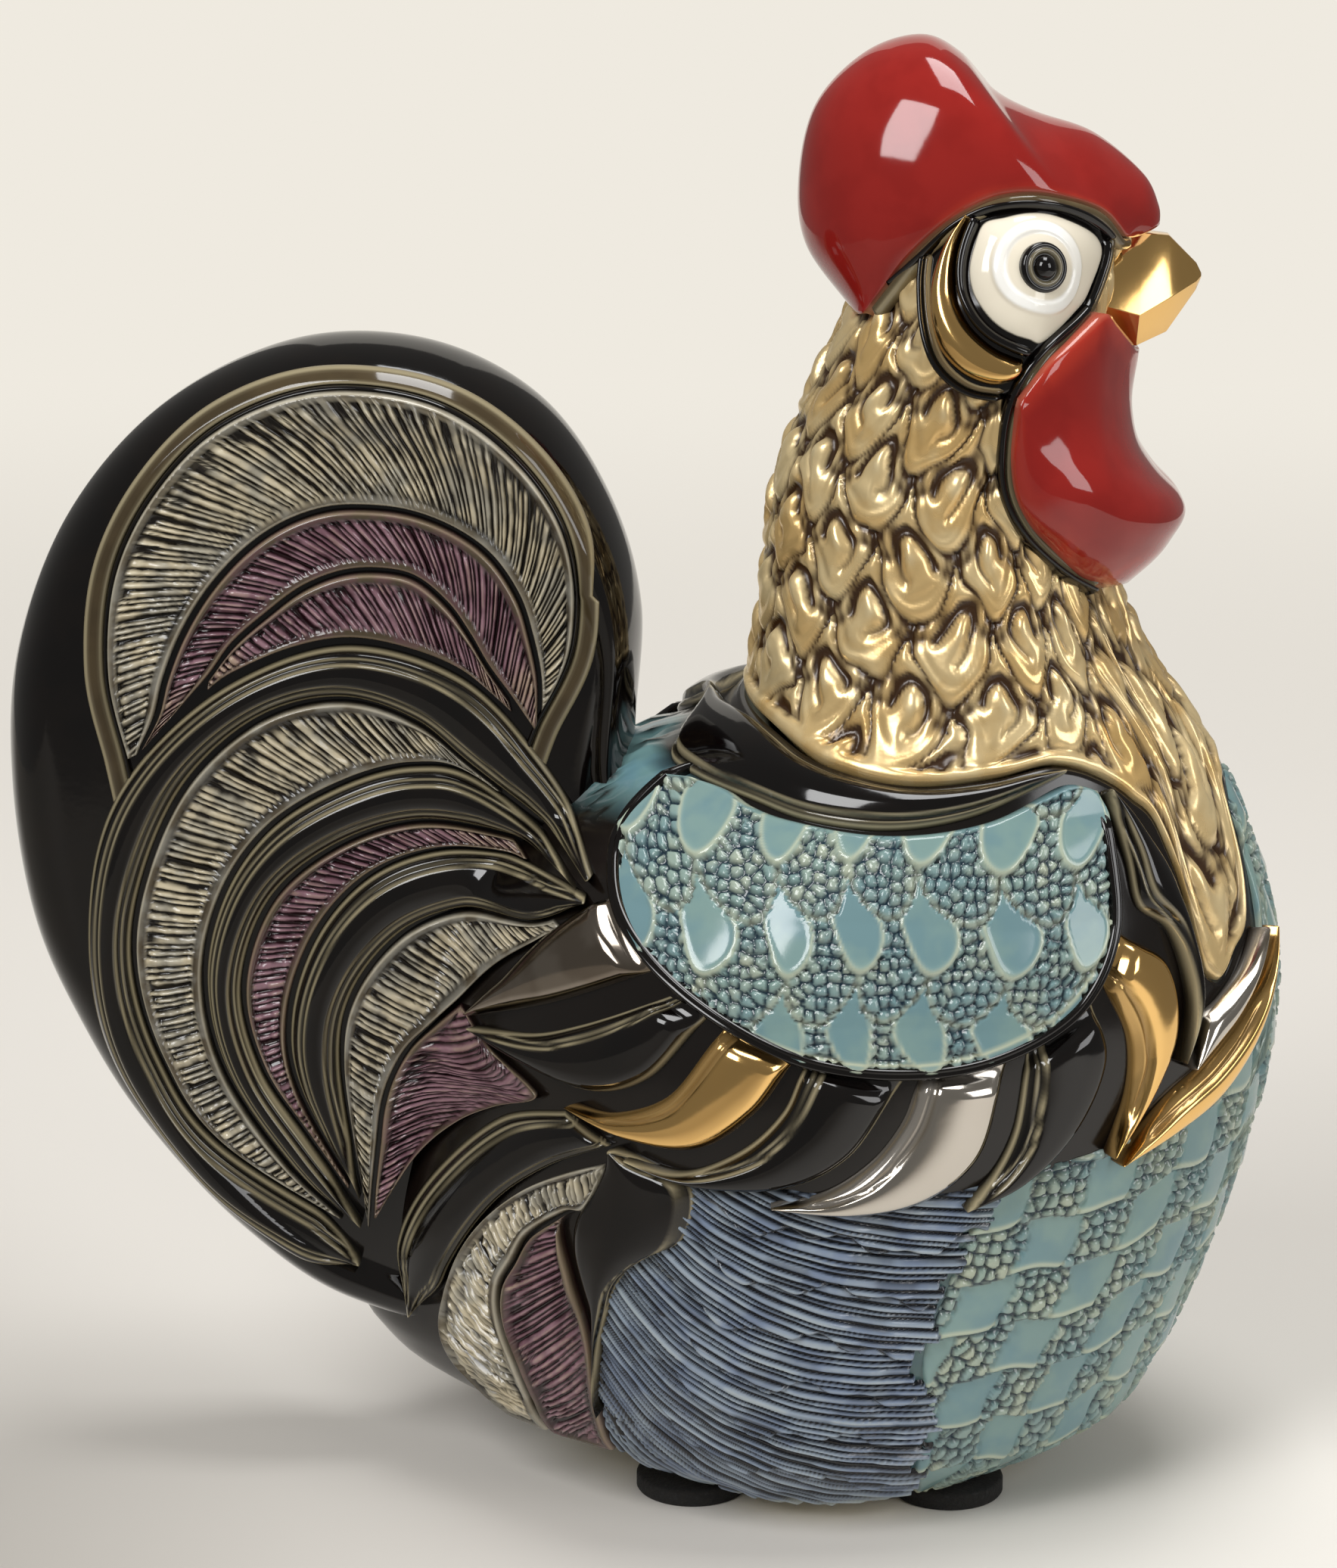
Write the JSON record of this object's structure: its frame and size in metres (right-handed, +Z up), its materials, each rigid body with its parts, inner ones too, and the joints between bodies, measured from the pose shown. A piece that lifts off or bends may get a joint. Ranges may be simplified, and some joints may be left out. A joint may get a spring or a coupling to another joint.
{
  "type": "rooster figurine",
  "caption": "Glazed ceramic rooster with a round fan tail, a hollow body on a flat foot and felt pads; carved and lustred feathers.",
  "frame": {"origin": "middle of the bounding box, on the surface that the felt pads rest on", "axes": "+X towards the beak, +Y towards the bird's left, +Z up"},
  "size_m": [0.1582, 0.0882, 0.1796],
  "materials": {
    "blue_glaze": "reactive blue-turquoise glaze over carved scales and combing, glossy",
    "antique_gold": "gold lustre rubbed into umber stain over carved scrolls, soft shine",
    "gold_lustre": "polished gold lustre, mirror gloss",
    "silver_lustre": "polished platinum lustre, mirror gloss",
    "black_glaze": "black-brown glaze, high gloss",
    "combed_cream": "combed clay with cream and umber stain, silvery glints",
    "combed_purple": "combed clay with mauve stain and cream tips",
    "red_glaze": "deep red glaze, high gloss",
    "white_glaze": "white glaze, gloss",
    "black_felt": "short matt felt"
  },
  "bodies": {
    "root": {"body_shell": "blue_glaze", "neck_hackle": "antique_gold", "tail_fan": "black_glaze", "comb": "red_glaze", "wattle": "red_glaze", "beak": "gold_lustre", "rump_vane_right": "combed_cream", "thigh_feather_right": "black_glaze", "wing_silver_1_right": "silver_lustre", "wing_black_2_right": "black_glaze", "wing_gold_3_right": "gold_lustre", "wing_black_4_right": "black_glaze", "wing_silver_5_right": "silver_lustre", "wing_black_6_right": "black_glaze", "wing_gold_7_right": "gold_lustre", "wing_black_8_right": "black_glaze", "chest_silver_right": "silver_lustre", "chest_gold_right": "gold_lustre", "tail_vane_a_right": "combed_cream", "tail_sickle_a_right": "black_glaze", "tail_vane_b_right": "combed_cream", "tail_sickle_b_right": "black_glaze", "tail_vane_c_right": "combed_purple", "tail_sickle_c_right": "black_glaze", "tail_vane_d_right": "combed_cream", "tail_sickle_d_right": "black_glaze", "collar_right": "black_glaze", "covert_right": "blue_glaze", "eye_right": "white_glaze", "pupil_right": "black_glaze", "cheek_right": "gold_lustre", "rump_vane_left": "combed_cream", "thigh_feather_left": "black_glaze", "wing_silver_1_left": "silver_lustre", "wing_black_2_left": "black_glaze", "wing_gold_3_left": "gold_lustre", "wing_black_4_left": "black_glaze", "wing_silver_5_left": "silver_lustre", "wing_black_6_left": "black_glaze", "wing_gold_7_left": "gold_lustre", "wing_black_8_left": "black_glaze", "chest_silver_left": "silver_lustre", "chest_gold_left": "gold_lustre", "tail_vane_a_left": "combed_cream", "tail_sickle_a_left": "black_glaze", "tail_vane_b_left": "combed_cream", "tail_sickle_b_left": "black_glaze", "tail_vane_c_left": "combed_purple", "tail_sickle_c_left": "black_glaze", "tail_vane_d_left": "combed_cream", "tail_sickle_d_left": "black_glaze", "collar_left": "black_glaze", "covert_left": "blue_glaze", "eye_left": "white_glaze", "pupil_left": "black_glaze", "cheek_left": "gold_lustre", "felt_pad_1": "black_felt", "felt_pad_2": "black_felt", "felt_pad_3": "black_felt", "felt_pad_4": "black_felt"}
  },
  "joints": []
}
